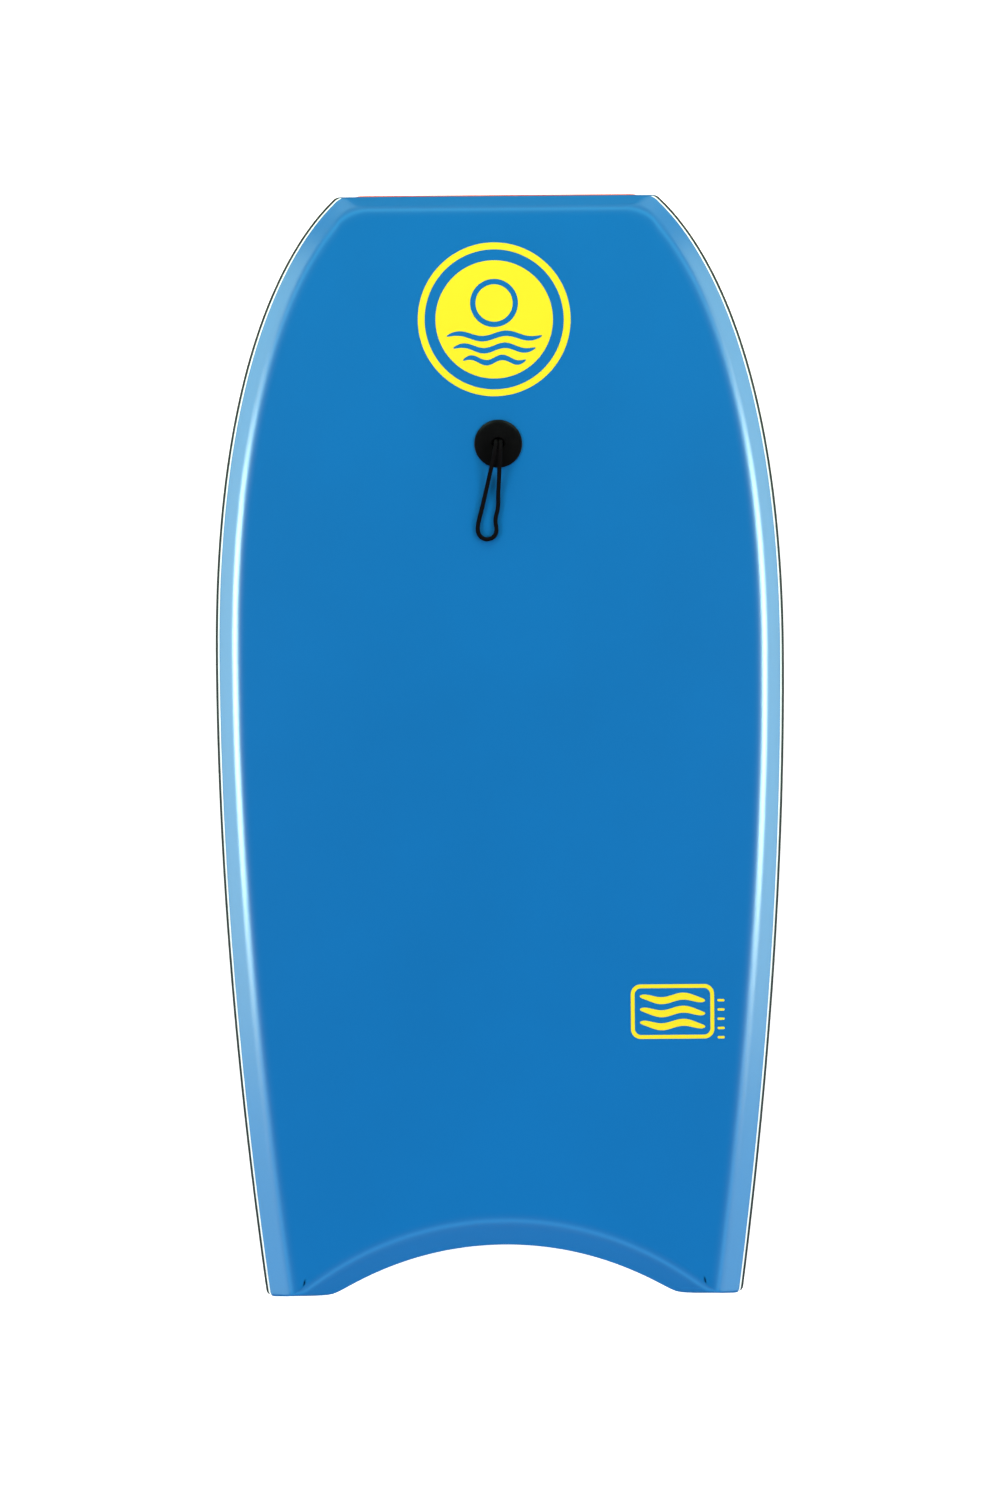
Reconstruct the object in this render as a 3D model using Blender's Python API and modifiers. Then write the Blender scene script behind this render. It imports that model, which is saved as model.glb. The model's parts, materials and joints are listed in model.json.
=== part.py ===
"""Bodyboard, 40 inches long, lying flat on its slick.

The board is a glued stack. An expanded polystyrene core carries a foam deck skin that wraps over
the chines, a thin foam layer and a plastic slick underneath, two strips along each rail and a
bumper strip at each end. A two-part leash plug is clamped through the board, and a loop of cord
comes out of its bore.

The origin is under the middle of the board, on the surface that it rests on. +Y points to the
nose, +Z up from the deck, and +X to the right for someone who looks at the deck, nose up.
"""

import math
from collections import namedtuple

import bmesh
import bpy
import numpy as np
from mathutils import Matrix, Vector
from mathutils.geometry import interpolate_bezier

MM = 0.001

# Overall size
LENGTH = 1016 * MM
THICKNESS = 52 * MM
NOSE = LENGTH / 2
TAIL = -LENGTH / 2
NOSE_RISE = 25 * MM
RISE_POWER = 2.5
NOSE_THINNING = 0.2

# One side of the plan outline, as two Bezier pieces: nose corner to widest place to tail corner
NOSE_CORNER = (142 * MM, NOSE)
NOSE_HANDLE = (168 * MM, 488 * MM)
WIDEST = (262.8 * MM, 83 * MM)
WIDEST_HANDLE_AHEAD = (262.8 * MM, 395 * MM)
WIDEST_HANDLE_BEHIND = (262.8 * MM, -94 * MM)
TAIL_HANDLE = (249 * MM, -293 * MM)
TAIL_CORNER = (220 * MM, TAIL)
END_TANGENT = 30 * MM
NOSE_ROUNDING = 3.5 * MM
TAIL_ROUNDING = 4 * MM

# Crescent tail: an arc cut into the tail, and how softly it runs into the flat tail pads
CRESCENT_DEPTH = 46 * MM
CRESCENT_RADIUS = 294 * MM
CRESCENT_REACH = 0.9 * CRESCENT_RADIUS
PAD_BLEND = 2 * MM

# Layers, as heights in the unbent board, with a gap between each two of them
GAP = 0.3 * MM
SLICK_TOP = 1.5 * MM
BOTTOM_FOAM_TOP = 4.5 * MM
RAIL_PEAK = 28 * MM
STRIPE_BOTTOM = 34.4 * MM
STRIPE_TOP = 37.2 * MM
SKIN_FOOT = STRIPE_TOP + GAP
SKIN_THICKNESS = 3 * MM
RAIL_DEPTH = 8.6 * MM
BUMPER_DEPTH = 12.9 * MM

# How far the slick is set in from the outline, and the core from the skin around it
SLICK_SIDE = 6.5 * MM
SLICK_TAIL = 2.5 * MM
CORE_CREST_INSET = 0.4 * MM
CORE_SHOULDER_INSET = 0.6 * MM

# Where the deck skin's outer face ends above the edge strips, and where the deck's crest lies,
# both as insets from the outline
NOSE_RAKE = 5.3 * MM
FOOT_NOSE = NOSE_RAKE + 0.1 * MM
FOOT_SIDE = 3.9 * MM
CREST_NOSE = 18.4 * MM
CREST_SIDE = 21 * MM
CREST_SIDE_TAIL = 25 * MM
CREST_PAD = 2 * MM
CREST_CRESCENT = 24.6 * MM

# Points along one half of an outline ring. The two in the middle of each corner stand a joint
# apart, and there the rails end and the bumpers begin.
NOSE_POINTS = 2
CORNER_POINTS = 6
BEFORE_JOINT = 2
JOINT_WIDTH = 1.2 * GAP
SIDE_STATIONS = 20
FIRST_STATION = 470 * MM
LAST_STATION = -480 * MM
STATION_EASE = 1.3
LADDER_END = -415 * MM
PAD_POINTS = 6
PAD_END = 12 * MM
CRESCENT_POINTS = 9
NOSE_JOINT = NOSE_POINTS + BEFORE_JOINT
FIRST_SIDE = NOSE_POINTS + CORNER_POINTS
TAIL_JOINT = FIRST_SIDE + SIDE_STATIONS + BEFORE_JOINT

# Leash plug, measured from the deck's surface along the plug's axis
PLUG_Y = 275.3 * MM
FLANGE_RADIUS = 22 * MM
FLANGE_EDGE = 1.3 * MM
FLANGE_HEIGHT = 4.5 * MM
BORE_RADIUS = 5.5 * MM
BARREL_RADIUS = 9 * MM
BARREL_END = -26 * MM
SLEEVE_RADIUS = 11.6 * MM
SLEEVE_TOP = -6 * MM
SLEEVE_FLOOR = -45 * MM
BASE_FLANGE_RADIUS = 18 * MM
BASE_FLANGE_TOP = -49.6 * MM
BASE_FLANGE_BOTTOM = -51.6 * MM
PLUG_HOLE_RADIUS = 12 * MM
PLUG_SEGMENTS = 32

# Leash cord
CORD_DIAMETER = 4 * MM
CORD_STEP = 4 * MM
CORD_START = 3 * MM
STRAND_OFFSET_X = 2.1 * MM
STRAND_OFFSET_Y = 2 * MM
KNOT_RADIUS = 7 * MM
KNOT_CENTRE = -34 * MM

# The cord's route in the plug's frame, in millimetres: right, towards the nose, out of the deck
CORD_ROUTE = (
    (-2.1, 2.0, 3.0), (-2.1, 1.0, 7.1), (-2.3, -1.7, 10.5), (-3.0, -6.4, 12.3), (-4.5, -14.0, 11.5),
    (-6.7, -23.0, 8.8), (-9.5, -35.0, 5.4), (-12.6, -48.0, 3.5), (-15.6, -60.0, 3.0),
    (-18.4, -71.0, 3.1), (-18.9, -81.4, 3.2), (-17.2, -84.6, 3.2), (-10.7, -87.6, 3.2),
    (-4.2, -84.6, 3.2), (-2.5, -81.4, 3.2), (-3.0, -71.0, 3.1), (-1.0, -60.0, 3.0),
    (-0.4, -48.0, 3.5), (0.3, -35.0, 5.4), (0.9, -23.0, 8.8), (1.5, -14.0, 11.5),
    (1.9, -6.4, 12.3), (2.1, -1.7, 10.5), (2.1, 1.0, 7.1), (2.1, 2.0, 3.0),
)

# How far one ring of a section is set in from the plan outline, and its height
Ring = namedtuple("Ring", "nose side side_tail pad crescent height")


def even_ring(nose, side, tail, height):
    """A ring set in by the same amount all along each side and all along the tail."""
    return Ring(nose, side, side, tail, tail, height)


def slope_run(rise, run, depth):
    """Level distance between a slope and its parallel at this depth below it."""
    return depth / math.sin(math.atan2(rise, run))


def skin_inside(outer, foot):
    """Inset of the skin's inner crest, where its outer face runs from foot up to outer."""
    rise = THICKNESS - SKIN_FOOT
    run = outer - foot
    inner_foot = foot + slope_run(rise, run, SKIN_THICKNESS)
    return inner_foot, inner_foot + (rise - SKIN_THICKNESS) * run / rise


SKIN_CREST = Ring(CREST_NOSE, CREST_SIDE, CREST_SIDE_TAIL, CREST_PAD, CREST_CRESCENT, THICKNESS)
SKIN_OUTER_FOOT = even_ring(FOOT_NOSE, FOOT_SIDE, 0.0, SKIN_FOOT)


def inner_skin_rings():
    """The skin's inner foot and inner crest, a skin thickness inside its outer face."""
    pairs = [skin_inside(crest, foot) for crest, foot in (
        (CREST_NOSE, FOOT_NOSE), (CREST_SIDE, FOOT_SIDE), (CREST_SIDE_TAIL, FOOT_SIDE),
        (CREST_PAD, 0.0), (CREST_CRESCENT, 0.0))]
    feet = [foot for foot, crest in pairs]
    crests = [crest for foot, crest in pairs]
    return Ring(*feet, SKIN_FOOT), Ring(*crests, THICKNESS - SKIN_THICKNESS)


def set_in(ring, distance, height):
    """The same ring, further in by one distance everywhere, at another height."""
    return Ring(*(value + distance for value in ring[:5]), height)


def rise(y):
    """Nose rocker: how far the board's underside lifts off the surface."""
    ahead = max(0.0, y / NOSE)
    return NOSE_RISE * ahead ** RISE_POWER


def foil(y):
    """Share of the full thickness that is left, less towards the nose."""
    ahead = max(0.0, y / NOSE)
    return 1 - NOSE_THINNING * ahead ** 2


def bent(x, y, height):
    """A point of the flat stack, carried to the rockered board."""
    return Vector((x, y, rise(y) + height * foil(y)))


def outline_samples():
    """The side of the outline from ahead of the nose corner to behind the tail corner."""
    def flat(point):
        return Vector((*point, 0))
    front = interpolate_bezier(*map(flat, (NOSE_CORNER, NOSE_HANDLE, WIDEST_HANDLE_AHEAD, WIDEST)), 80)
    rear = interpolate_bezier(*map(flat, (WIDEST, WIDEST_HANDLE_BEHIND, TAIL_HANDLE, TAIL_CORNER)), 80)
    points = front + rear[1:]
    before = points[0] + (points[0] - points[1]).normalized() * END_TANGENT
    after = points[-1] + (points[-1] - points[-2]).normalized() * END_TANGENT
    return np.array([(p.x, p.y) for p in [before, *points, after]])


OUTLINE = outline_samples()


def half_width(y, ring):
    """Half the board's width at y, set in from the outline as the ring says."""
    along = np.gradient(OUTLINE, axis=0)
    along /= np.linalg.norm(along, axis=1)[:, None]
    towards_tail = np.clip(-OUTLINE[:, 1] / NOSE, 0, 1)
    inset = ring.side + (ring.side_tail - ring.side) * towards_tail
    inner_x = OUTLINE[:, 0] + along[:, 1] * inset
    inner_y = OUTLINE[:, 1] - along[:, 0] * inset
    return float(np.interp(-y, -inner_y, inner_x))


def tail_line(x, ring):
    """The tail edge's y at x: the crescent's arc, run smoothly into the flat pad."""
    reach = min(abs(x), CRESCENT_REACH)
    drop = CRESCENT_RADIUS - math.sqrt(CRESCENT_RADIUS ** 2 - reach ** 2)
    arc = TAIL + CRESCENT_DEPTH - drop + ring.crescent
    pad = TAIL + ring.pad
    return (arc + pad + math.hypot(arc - pad, 2 * PAD_BLEND)) / 2 - PAD_BLEND ** 2 / CRESCENT_DEPTH


def side_corner(end_y, ring):
    """Where the side curve meets the nose or tail line, and the side's direction there."""
    step = 1 * MM
    here = Vector((half_width(end_y, ring), end_y))
    below = Vector((half_width(end_y - step, ring), end_y - step))
    return here, (below - here).normalized()


def rounded_corner(start, corner, end, fraction):
    """A point on the curve that rounds a corner."""
    return start.lerp(corner, fraction).lerp(corner.lerp(end, fraction), fraction)


def corner_points(corner, way_in, way_out, rounding):
    """Points round one corner, with a narrow joint left between a bumper and a rail."""
    start = corner - way_in * rounding
    end = corner + way_out * rounding
    half_joint = JOINT_WIDTH / 2 / (end - start).length
    fractions = (0.0, 0.25, 0.5 - half_joint, 0.5 + half_joint, 0.75, 1.0)
    return [rounded_corner(start, corner, end, fraction) for fraction in fractions]


def half_ring(ring):
    """Half of an outline ring, from the middle of the nose round to the middle of the tail."""
    nose_y = NOSE - ring.nose
    nose_corner, nose_way = side_corner(nose_y, ring)
    nose_round = corner_points(nose_corner, Vector((1, 0)), nose_way, NOSE_ROUNDING)
    points = [Vector((0, nose_y)), Vector((nose_round[0].x / 2, nose_y)), *nose_round]
    steps = (np.arange(SIDE_STATIONS) / (SIDE_STATIONS - 1)) ** STATION_EASE
    for y in FIRST_STATION + (LAST_STATION - FIRST_STATION) * steps:
        points.append(Vector((half_width(y, ring), y)))
    tail_corner, tail_way = side_corner(TAIL + ring.pad, ring)
    points += corner_points(tail_corner, tail_way, Vector((-1, 0)), TAIL_ROUNDING)
    points += tail_points(points[-1].x, ring)
    return [bent(p.x, p.y, ring.height) for p in points]


def tail_points(start_x, ring):
    """The pad and the crescent, from the tail corner in to the centreline."""
    depth = CRESCENT_DEPTH + ring.crescent - ring.pad
    joint_x = math.sqrt(CRESCENT_RADIUS ** 2 - (CRESCENT_RADIUS - depth) ** 2)
    pad = np.linspace(start_x, joint_x - PAD_END, PAD_POINTS)[1:]
    arc = np.linspace(pad[-1], 0, CRESCENT_POINTS)[1:]
    return [Vector((x, tail_line(x, ring))) for x in [*pad, *arc]]


def add_loft(mesh, rows, closed=False):
    """Quads between neighbouring rows of vertices; closed joins the last row to the first."""
    pairs = list(zip(rows, rows[1:]))
    if closed:
        pairs.append((rows[-1], rows[0]))
    for low, high in pairs:
        for i in range(len(low) - 1):
            mesh.faces.new((low[i], low[i + 1], high[i + 1], high[i]))


def add_cap(mesh, row):
    """A level cap over half of the board, in cross strips that follow the rocker."""
    rim = range(FIRST_SIDE, FIRST_SIDE + SIDE_STATIONS)
    rungs = [i for i in rim if row[i].co.y > LADDER_END]
    centres = [mesh.verts.new((0, row[i].co.y, row[i].co.z)) for i in rungs]
    mesh.faces.new([*row[:rungs[0] + 1], centres[0]])
    for k, i in enumerate(rungs[:-1]):
        mesh.faces.new((centres[k], row[i], row[i + 1], centres[k + 1]))
    mesh.faces.new([centres[-1], *row[rungs[-1]:]])


def new_object(name, mesh, material, collection):
    """An object made from a finished bmesh, with its faces turned outwards."""
    bmesh.ops.recalc_face_normals(mesh, faces=mesh.faces)
    data = bpy.data.meshes.new(name)
    mesh.to_mesh(data)
    mesh.free()
    data.materials.append(material)
    piece = bpy.data.objects.new(name, data)
    collection.objects.link(piece)
    return piece


def add_mirror(piece):
    """Mirror a half that is open at the centreline."""
    mirror = piece.modifiers.new("Mirror", "MIRROR")
    mirror.use_axis = (True, False, False)
    mirror.merge_threshold = 0.00001


def layer(name, rings, material, collection):
    """A full-plan layer: a loft through rings from its lower cap to its upper cap."""
    mesh = bmesh.new()
    rows = [[mesh.verts.new(p) for p in half_ring(ring)] for ring in rings]
    add_loft(mesh, rows)
    add_cap(mesh, rows[0])
    add_cap(mesh, rows[-1])
    piece = new_object(name, mesh, material, collection)
    add_mirror(piece)
    return piece


def strip(name, outer, first, last, material, collection, side=0):
    """A strip along part of the edge, from its outer rings in to one depth at every height.

    first and last are places in a ring. side is 1 or -1 for a strip on that side of the board,
    and 0 for one that crosses the centreline.
    """
    mesh = bmesh.new()
    turn = side or 1
    inner = [even_ring(BUMPER_DEPTH, RAIL_DEPTH, RAIL_DEPTH, ring.height) for ring in outer]
    rows = []
    for ring in outer + inner:
        points = half_ring(ring)[first:last]
        rows.append([mesh.verts.new((turn * p.x, p.y, p.z)) for p in points])
    outside = rows[:len(outer)]
    inside = rows[len(outer):]
    add_loft(mesh, outside + inside[::-1], closed=True)
    ends = [0, -1] if side else [-1 if first == 0 else 0]
    for end in ends:
        for k in range(len(outer) - 1):
            mesh.faces.new((outside[k][end], outside[k + 1][end], inside[k + 1][end], inside[k][end]))
    piece = new_object(name, mesh, material, collection)
    if not side:
        add_mirror(piece)
    return piece


def make_material(name, color, roughness):
    """A Principled material of one colour."""
    material = bpy.data.materials.new(name)
    material.use_nodes = True
    material.diffuse_color = (*color, 1)
    shader = material.node_tree.nodes["Principled BSDF"]
    shader.inputs["Base Color"].default_value = (*color, 1)
    shader.inputs["Roughness"].default_value = roughness
    return material


def build_layers(collection, foam_blue, foam_white, core_white, slick_coral):
    """The stack from the slick up to the deck skin. Returns every layer the plug goes through."""
    slick = [even_ring(0.0, SLICK_SIDE, SLICK_TAIL, height) for height in (0.0, SLICK_TOP)]
    buried = even_ring(BUMPER_DEPTH + GAP, RAIL_DEPTH + GAP, RAIL_DEPTH + GAP, 0.0)
    foam = [buried._replace(height=SLICK_TOP + GAP), buried._replace(height=BOTTOM_FOAM_TOP)]
    inner_foot, inner_crest = inner_skin_rings()
    core_crest = set_in(inner_crest, CORE_CREST_INSET, THICKNESS - SKIN_THICKNESS - GAP)
    core_shoulder = Ring(*map(max, buried, set_in(inner_foot, CORE_SHOULDER_INSET, SKIN_FOOT - GAP)))
    core = [buried._replace(height=BOTTOM_FOAM_TOP + GAP),
            buried._replace(height=SKIN_FOOT - 2 * GAP), core_shoulder, core_crest]
    skin = [inner_crest, inner_foot, SKIN_OUTER_FOOT, SKIN_CREST]
    return [
        layer("slick_skin", slick, slick_coral, collection),
        layer("bottom_foam", foam, foam_white, collection),
        layer("eps_core", core, core_white, collection),
        layer("deck_skin", skin, foam_blue, collection),
    ]


def rail_rings():
    """The outer face of the edge, as the dark lower rail's rings and the stripe's rings."""
    lower = [
        even_ring(0.9 * MM, 6.3 * MM, 2.5 * MM, SLICK_TOP + GAP),
        even_ring(1.9 * MM, 3.0 * MM, 1.4 * MM, 9 * MM),
        even_ring(3.0 * MM, 0.8 * MM, 0.6 * MM, 18 * MM),
        even_ring(4.2 * MM, 0.0, 0.2 * MM, RAIL_PEAK),
        even_ring(5.0 * MM, 2.3 * MM, 0.1 * MM, STRIPE_BOTTOM - GAP),
    ]
    stripe = [
        even_ring(5.0 * MM, 2.4 * MM, 0.1 * MM, STRIPE_BOTTOM),
        even_ring(NOSE_RAKE, 3.8 * MM, 0.0, STRIPE_TOP),
    ]
    return lower, stripe


def build_edges(collection, foam_black, foam_white, foam_blue):
    """Two strips along each rail, and a bumper across the nose and round the tail between them."""
    lower, stripe = rail_rings()
    rail = (NOSE_JOINT + 1, TAIL_JOINT + 1)
    for side, word in ((-1, "left"), (1, "right")):
        strip("lower_rail_" + word, lower, *rail, foam_black, collection, side)
        strip("rail_stripe_" + word, stripe, *rail, foam_white, collection, side)
    strip("nose_bumper", lower + stripe, 0, NOSE_JOINT + 1, foam_blue, collection)
    strip("tail_bumper", lower + stripe, TAIL_JOINT + 1, None, foam_blue, collection)


def plug_frame(collection):
    """An empty on the deck at the plug, its Z square to the deck there."""
    step = 1 * MM
    ahead = bent(0, PLUG_Y + step, THICKNESS)
    behind = bent(0, PLUG_Y - step, THICKNESS)
    slope = math.atan2(ahead.z - behind.z, ahead.y - behind.y)
    frame = bpy.data.objects.new("plug_frame", None)
    frame.location = bent(0, PLUG_Y, THICKNESS)
    frame.rotation_euler = (slope, 0, 0)
    collection.objects.link(frame)
    return frame


def turned(name, profile, closed, frame, material, collection):
    """A piece turned about the plug's axis from a profile of radius and height."""
    mesh = bmesh.new()
    points = [mesh.verts.new((radius, 0, height)) for radius, height in profile]
    for a, b in zip(points, points[1:]):
        mesh.edges.new((a, b))
    if closed:
        mesh.edges.new((points[-1], points[0]))
    data = bpy.data.meshes.new(name)
    mesh.to_mesh(data)
    mesh.free()
    data.materials.append(material)
    piece = bpy.data.objects.new(name, data)
    collection.objects.link(piece)
    piece.parent = frame
    screw = piece.modifiers.new("Screw", "SCREW")
    screw.steps = PLUG_SEGMENTS
    screw.render_steps = PLUG_SEGMENTS
    screw.use_merge_vertices = True
    screw.merge_threshold = 0.00001
    return piece


def dome_profile():
    """The flange's top, from the bore's rounded lip out and down to its edge."""
    lip = [(BORE_RADIUS, FLANGE_HEIGHT - 1.2 * MM), (BORE_RADIUS + 0.4 * MM, FLANGE_HEIGHT - 0.3 * MM),
           (BORE_RADIUS + 1.2 * MM, FLANGE_HEIGHT)]
    dome = []
    for share in (0.3, 0.55, 0.75, 0.9, 1.0):
        radius = lip[-1][0] + (FLANGE_RADIUS - lip[-1][0]) * share
        dome.append((radius, FLANGE_EDGE + (FLANGE_HEIGHT - FLANGE_EDGE) * math.sqrt(1 - share ** 2.5)))
    return lip + dome


def build_plug(frame, black, collection):
    """The top with its barrel and bore, and the base with its sleeve."""
    top = dome_profile() + [(FLANGE_RADIUS, GAP), (BARREL_RADIUS, GAP), (BARREL_RADIUS, BARREL_END),
                            (BORE_RADIUS, BARREL_END)]
    turned("leash_plug_top", top, True, frame, black, collection)
    inside = BARREL_RADIUS + GAP
    base = [(0, SLEEVE_FLOOR), (inside, SLEEVE_FLOOR), (inside, SLEEVE_TOP), (SLEEVE_RADIUS, SLEEVE_TOP),
            (SLEEVE_RADIUS, BASE_FLANGE_TOP), (BASE_FLANGE_RADIUS, BASE_FLANGE_TOP),
            (BASE_FLANGE_RADIUS, BASE_FLANGE_TOP - 1 * MM),
            (BASE_FLANGE_RADIUS - 1.5 * MM, BASE_FLANGE_BOTTOM), (0, BASE_FLANGE_BOTTOM)]
    turned("leash_plug_base", base, False, frame, black, collection)


def cut_plug_hole(layers, frame, cutters):
    """One straight hole through every layer, just wider than the plug's sleeve."""
    mesh = bmesh.new()
    bmesh.ops.create_cone(mesh, cap_ends=True, segments=PLUG_SEGMENTS, radius1=PLUG_HOLE_RADIUS,
                          radius2=PLUG_HOLE_RADIUS, depth=3 * THICKNESS)
    data = bpy.data.meshes.new("plug_hole")
    mesh.to_mesh(data)
    mesh.free()
    cutter = bpy.data.objects.new("plug_hole", data)
    cutter.parent = frame
    cutter.hide_render = True
    cutter.display_type = "WIRE"
    cutters.objects.link(cutter)
    for piece in layers:
        cut = piece.modifiers.new("Plug hole", "BOOLEAN")
        cut.operation = "DIFFERENCE"
        cut.object = cutter


def natural_spline(points):
    """Closely spaced points on the cubic spline that runs through the given ones."""
    gaps = np.linalg.norm(np.diff(points, axis=0), axis=1)
    slopes = np.diff(points, axis=0) / gaps[:, None]
    system = np.eye(len(points))
    turning = np.zeros_like(points)
    for i in range(1, len(points) - 1):
        system[i, i - 1:i + 2] = gaps[i - 1], 2 * (gaps[i - 1] + gaps[i]), gaps[i]
        turning[i] = 6 * (slopes[i] - slopes[i - 1])
    bend = np.linalg.solve(system, turning)
    fine = []
    for i, gap in enumerate(gaps):
        for t in np.arange(0, 1, 0.05):
            s = 1 - t
            sag = (s ** 3 - s) * bend[i] + (t ** 3 - t) * bend[i + 1]
            fine.append(s * points[i] + t * points[i + 1] + gap ** 2 / 6 * sag)
    return np.array([*fine, points[-1]])


def smooth_route(points, step):
    """Evenly spaced points on a smooth curve through the given ones."""
    fine = natural_spline(np.array(points))
    travelled = np.concatenate([[0], np.cumsum(np.linalg.norm(np.diff(fine, axis=0), axis=1))])
    stops = np.linspace(0, travelled[-1], round(travelled[-1] / step) + 1)
    return np.column_stack([np.interp(stops, travelled, fine[:, axis]) for axis in range(3)])


def build_cord_loop(frame, black, collection):
    """The free loop of cord, from the bore out over the deck and back."""
    route = smooth_route(np.array(CORD_ROUTE) * MM, CORD_STEP)
    curve = bpy.data.curves.new("leash_loop", "CURVE")
    curve.dimensions = "3D"
    curve.bevel_depth = CORD_DIAMETER / 2
    curve.bevel_resolution = 2
    curve.use_fill_caps = True
    spline = curve.splines.new("POLY")
    spline.points.add(len(route) - 1)
    for point, place in zip(spline.points, route):
        point.co = (*place, 1)
    curve.materials.append(black)
    loop = bpy.data.objects.new("leash_loop", curve)
    loop.parent = frame
    collection.objects.link(loop)


def build_knot(frame, black, collection, cutters):
    """The stopper knot under the barrel, with the two strands that run up the bore from it."""
    mesh = bmesh.new()
    bmesh.ops.create_uvsphere(mesh, u_segments=16, v_segments=10, radius=KNOT_RADIUS)
    bmesh.ops.translate(mesh, verts=mesh.verts, vec=(0, 0, KNOT_CENTRE))
    knot = new_object("leash_knot", mesh, black, collection)
    knot.parent = frame
    low = KNOT_CENTRE
    high = CORD_START - 2 * GAP
    for side, word in ((-1, "left"), (1, "right")):
        strand = bmesh.new()
        place = Matrix.Translation((side * STRAND_OFFSET_X, STRAND_OFFSET_Y, (low + high) / 2))
        bmesh.ops.create_cone(strand, cap_ends=True, segments=8, radius1=CORD_DIAMETER / 2,
                              radius2=CORD_DIAMETER / 2, depth=high - low, matrix=place)
        data = bpy.data.meshes.new("strand_" + word)
        strand.to_mesh(data)
        strand.free()
        joined = bpy.data.objects.new("strand_" + word, data)
        joined.parent = frame
        joined.hide_render = True
        joined.display_type = "WIRE"
        cutters.objects.link(joined)
        union = knot.modifiers.new("Strand " + word, "BOOLEAN")
        union.operation = "UNION"
        union.object = joined


def main():
    for old in list(bpy.data.objects):
        bpy.data.objects.remove(old, do_unlink=True)
    board = bpy.data.collections.new("bodyboard")
    cutters = bpy.data.collections.new("cutters")
    bpy.context.scene.collection.children.link(board)
    bpy.context.scene.collection.children.link(cutters)

    foam_blue = make_material("foam_blue", (0.009, 0.18, 0.49), 0.45)
    foam_white = make_material("foam_white", (0.85, 0.88, 0.88), 0.6)
    foam_black = make_material("foam_black", (0.02, 0.025, 0.03), 0.5)
    core_white = make_material("core_white", (0.9, 0.9, 0.9), 0.8)
    slick_coral = make_material("slick_coral", (0.85, 0.12, 0.09), 0.25)
    plug_black = make_material("plug_black", (0.01, 0.01, 0.01), 0.35)
    cord_black = make_material("cord_black", (0.015, 0.013, 0.016), 0.8)

    layers = build_layers(board, foam_blue, foam_white, core_white, slick_coral)
    build_edges(board, foam_black, foam_white, foam_blue)
    frame = plug_frame(board)
    cut_plug_hole(layers, frame, cutters)
    build_plug(frame, plug_black, board)
    build_cord_loop(frame, cord_black, board)
    build_knot(frame, cord_black, board, cutters)


main()
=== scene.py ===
"""Looks of the bodyboard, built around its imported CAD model.

The CAD solids are plain lofts of the board's layers. This script makes each visible layer again
as a fine mesh on the same outline, with soft foam edges, rolled crests and printed graphics, and
gives every piece a material from nodes. Nothing is moved or resized.

Rings are the heart of it: an outline ring is the board's plan, set in by a different amount at
the nose, along the sides and at the tail, at one height of the flat, unbent stack. Every skin is
a loft through such rings, bent afterwards to the nose rocker.
"""

import json
import math

import bmesh
import bpy
import numpy as np
from mathutils import Matrix, Vector
from mathutils.geometry import interpolate_bezier


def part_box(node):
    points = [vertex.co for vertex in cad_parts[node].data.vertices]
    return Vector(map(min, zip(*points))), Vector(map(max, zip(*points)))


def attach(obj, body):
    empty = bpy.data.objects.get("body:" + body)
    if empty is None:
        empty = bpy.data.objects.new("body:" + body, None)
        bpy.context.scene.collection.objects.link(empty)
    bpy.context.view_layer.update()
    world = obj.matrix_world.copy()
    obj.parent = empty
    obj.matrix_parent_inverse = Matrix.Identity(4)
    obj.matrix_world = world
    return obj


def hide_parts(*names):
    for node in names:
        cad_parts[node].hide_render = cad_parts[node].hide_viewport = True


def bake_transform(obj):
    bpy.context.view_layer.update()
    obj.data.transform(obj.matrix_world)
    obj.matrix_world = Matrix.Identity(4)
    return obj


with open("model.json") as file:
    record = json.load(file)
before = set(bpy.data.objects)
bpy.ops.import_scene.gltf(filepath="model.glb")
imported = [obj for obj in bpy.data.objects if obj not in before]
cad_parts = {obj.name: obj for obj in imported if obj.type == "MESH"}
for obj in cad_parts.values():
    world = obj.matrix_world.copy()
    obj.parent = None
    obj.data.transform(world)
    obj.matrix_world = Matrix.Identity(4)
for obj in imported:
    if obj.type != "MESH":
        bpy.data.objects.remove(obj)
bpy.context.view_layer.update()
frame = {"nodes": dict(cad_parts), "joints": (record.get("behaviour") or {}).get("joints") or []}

MM = 0.001

# Driving sizes, read from the frame
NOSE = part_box("slick_skin")[1][1]
TAIL = -NOSE
SKIN_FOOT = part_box("deck_skin")[0][2]
SKIN_RISE = 14.5 * MM
THICKNESS = SKIN_FOOT + SKIN_RISE
JOINTS = {joint["name"]: joint for joint in frame["joints"]}

# Nose rocker and the thinner nose
NOSE_RISE = 25 * MM
RISE_POWER = 2.5
NOSE_THINNING = 0.2

# One side of the plan outline: nose corner to widest place to tail corner, as Bezier handles
NOSE_CORNER = (142 * MM, NOSE)
NOSE_HANDLE = (168 * MM, NOSE - 20 * MM)
WIDEST = (262.8 * MM, 83 * MM)
WIDEST_HANDLE_AHEAD = (262.8 * MM, 395 * MM)
WIDEST_HANDLE_BEHIND = (262.8 * MM, -94 * MM)
TAIL_HANDLE = (249 * MM, TAIL + 215 * MM)
TAIL_CORNER = (220 * MM, TAIL)
END_TANGENT = 30 * MM
OUTLINE_COUNT = 200

# Crescent tail
CRESCENT_DEPTH = 46 * MM
CRESCENT_RADIUS = 294 * MM
PAD_BLEND = 2 * MM
PAD_REACH = 14 * MM

# How far each corner of the plan is rounded, and how that changes with a ring's inset
NOSE_ROUNDING = 3.6 * MM
NOSE_ROUNDING_GAIN = 0.55
TAIL_ROUNDING = 5 * MM
TAIL_ROUNDING_LOSS = 0.15
TAIL_ROUNDING_LEAST = 2 * MM

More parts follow.
